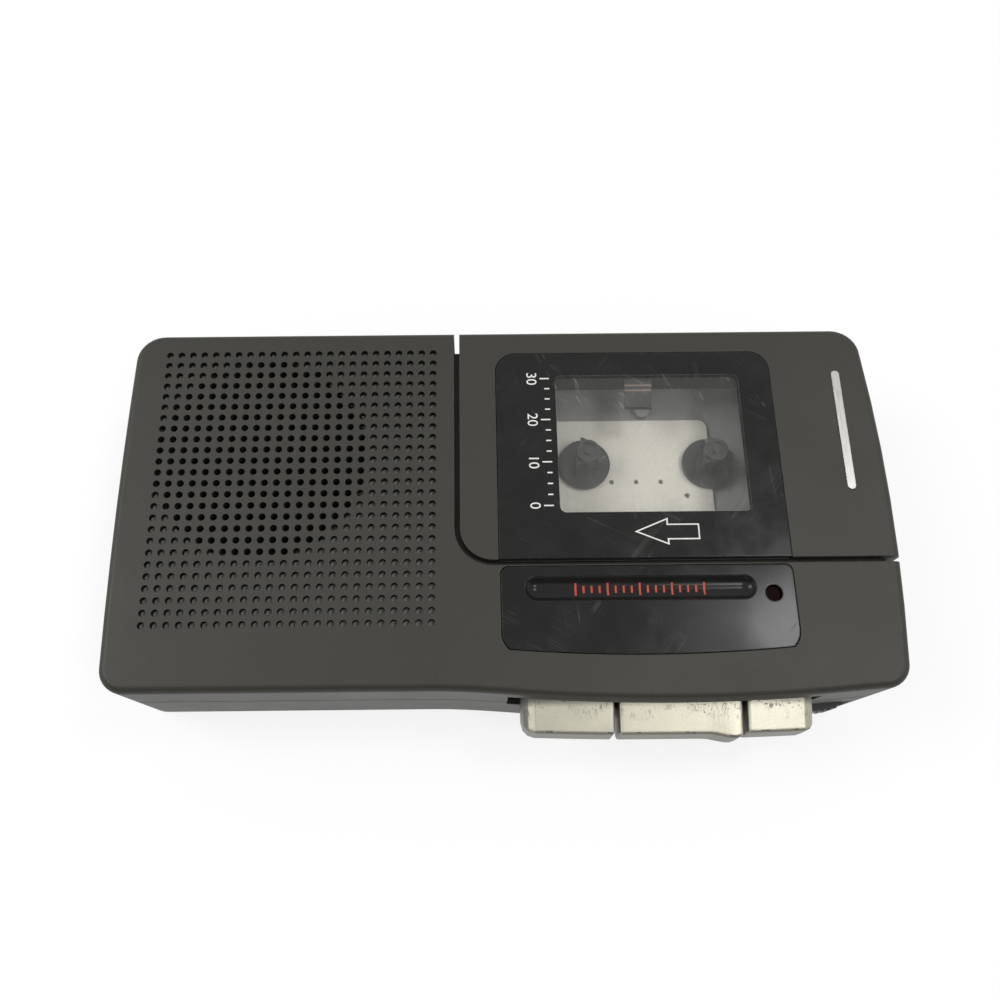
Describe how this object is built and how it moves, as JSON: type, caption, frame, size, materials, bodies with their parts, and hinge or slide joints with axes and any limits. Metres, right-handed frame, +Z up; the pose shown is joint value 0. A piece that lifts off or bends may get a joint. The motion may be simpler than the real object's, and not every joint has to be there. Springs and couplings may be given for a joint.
{
  "type": "microcassette recorder",
  "caption": "Hand-held microcassette recorder with a speaker grille, hinged window lid over two spindles, side keys and a ribbed volume dial.",
  "frame": {"origin": "centre of the case's base, without the keys", "axes": "+X from the speaker end to the cassette end, +Y from the keys to the lid hinge, +Z up from the base"},
  "size_m": [0.1193, 0.0649, 0.0241],
  "materials": {
    "case_plastic": "fine matte texture, dark charcoal",
    "gloss_panel": "glossy black",
    "clear_window": "clear smoky acrylic, scratched",
    "key_silver": "champagne silver paint on plastic",
    "trim_silver": "satin",
    "black_plastic": "satin black",
    "deck_steel": "plated steel, warm grey",
    "steel": "plated steel",
    "spring_copper": "spring bronze",
    "brass": "turned brass",
    "rubber": "matt rubber",
    "board_green": "lacquered circuit board",
    "lamp_red": "red lens",
    "paper_black": "paper cone",
    "cell_sleeve": "plain sleeve"
  },
  "bodies": {
    "case": {"front_case": "case_plastic", "speaker_grille": "case_plastic", "front_plate": "gloss_panel", "rear_case": "case_plastic", "case_screws": "steel", "mech_chassis": "black_plastic", "deck_plate": "deck_steel", "motor": "steel", "drive_belt": "rubber", "circuit_board": "board_green", "board_parts": "black_plastic", "volume_control": "black_plastic", "speed_switch": "steel", "earphone_jack": "black_plastic", "microphone_jack": "black_plastic", "supply_inlet": "black_plastic", "record_lamp": "lamp_red", "microphone": "steel", "speaker_frame": "steel", "speaker_cone": "paper_black", "speaker_magnet": "steel", "battery_cells": "cell_sleeve", "battery_contacts": "steel", "stop_spring": "steel", "play_spring": "steel", "record_spring": "steel"},
    "lid": {"cassette_lid": "case_plastic", "lid_window": "clear_window", "window_mask": "gloss_panel", "trim_bar": "trim_silver", "cassette_spring": "spring_copper", "hinge_pins": "steel"},
    "stop": {"stop_key": "key_silver"},
    "play": {"play_key": "key_silver"},
    "record": {"record_key": "key_silver"},
    "slide": {"head_slide": "steel", "tape_head": "steel", "erase_head": "black_plastic"},
    "pinch": {"pinch_roller": "rubber"},
    "takeup": {"takeup_spindle": "black_plastic"},
    "supply": {"supply_spindle": "black_plastic"},
    "idler": {"idler_wheel": "rubber"},
    "drive": {"flywheel": "brass", "capstan": "steel"},
    "rotor": {"motor_pulley": "brass"},
    "volume": {"volume_dial": "black_plastic"},
    "speed": {"speed_knob": "black_plastic"},
    "cover": {"battery_cover": "black_plastic"}
  },
  "joints": [
    {"name": "lid_hinge", "type": "hinge", "parent": "case", "child": "lid", "pos_m": [0.02, 0.02763, 0.0163], "axis": [-1, 0, 0], "range_deg": [0, 75]},
    {"name": "stop_press", "type": "slide", "parent": "case", "child": "stop", "axis": [0, 1, 0], "range_m": [0, 0.0028], "stiffness_N_per_m": 200, "springref_m": -0.003, "deforming": ["stop_spring"]},
    {"name": "play_press", "type": "slide", "parent": "case", "child": "play", "axis": [0, 1, 0], "range_m": [0, 0.0028], "stiffness_N_per_m": 200, "springref_m": -0.003, "deforming": ["play_spring"]},
    {"name": "record_press", "type": "slide", "parent": "case", "child": "record", "axis": [0, 1, 0], "range_m": [0, 0.0028], "stiffness_N_per_m": 200, "springref_m": -0.003, "deforming": ["record_spring"]},
    {"name": "head_travel", "type": "slide", "parent": "case", "child": "slide", "axis": [0, 1, 0], "range_m": [0, 0.0028]},
    {"name": "pinch_turn", "type": "hinge", "parent": "slide", "child": "pinch", "pos_m": [0.0115, -0.01005, 0.0155], "axis": [0, 0, 1], "continuous": true},
    {"name": "takeup_turn", "type": "hinge", "parent": "case", "child": "takeup", "pos_m": [0.014, 0.0102, 0.0125], "axis": [0, 0, 1], "continuous": true},
    {"name": "supply_turn", "type": "hinge", "parent": "case", "child": "supply", "pos_m": [0.0348, 0.0102, 0.0125], "axis": [0, 0, 1], "continuous": true},
    {"name": "idler_turn", "type": "hinge", "parent": "case", "child": "idler", "pos_m": [0.01257, 0.00242, 0.0085], "axis": [0, 0, 1], "continuous": true},
    {"name": "drive_turn", "type": "hinge", "parent": "case", "child": "drive", "pos_m": [0.0115, -0.0034, 0.006], "axis": [0, 0, 1], "continuous": true},
    {"name": "rotor_turn", "type": "hinge", "parent": "case", "child": "rotor", "pos_m": [-0.0144, -0.009, 0.006], "axis": [0, 0, 1], "continuous": true},
    {"name": "volume_turn", "type": "hinge", "parent": "case", "child": "volume", "pos_m": [0.0495, -0.02364, 0.0075], "axis": [0, 0, 1], "range_deg": [-135, 135]},
    {"name": "speed_set", "type": "slide", "parent": "case", "child": "speed", "axis": [0, 1, 0], "range_m": [0, 0.0032]},
    {"name": "cover_slide", "type": "slide", "parent": "case", "child": "cover", "axis": [-1, 0, 0], "range_m": [0, 0.034]}
  ],
  "couplings": [
    {"joint": "head_travel", "follows": "play_press", "ratio": 1},
    {"joint": "takeup_turn", "follows": "drive_turn", "ratio": 0.6},
    {"joint": "idler_turn", "follows": "drive_turn", "ratio": -1.1476},
    {"joint": "rotor_turn", "follows": "drive_turn", "ratio": 6.1176}
  ]
}
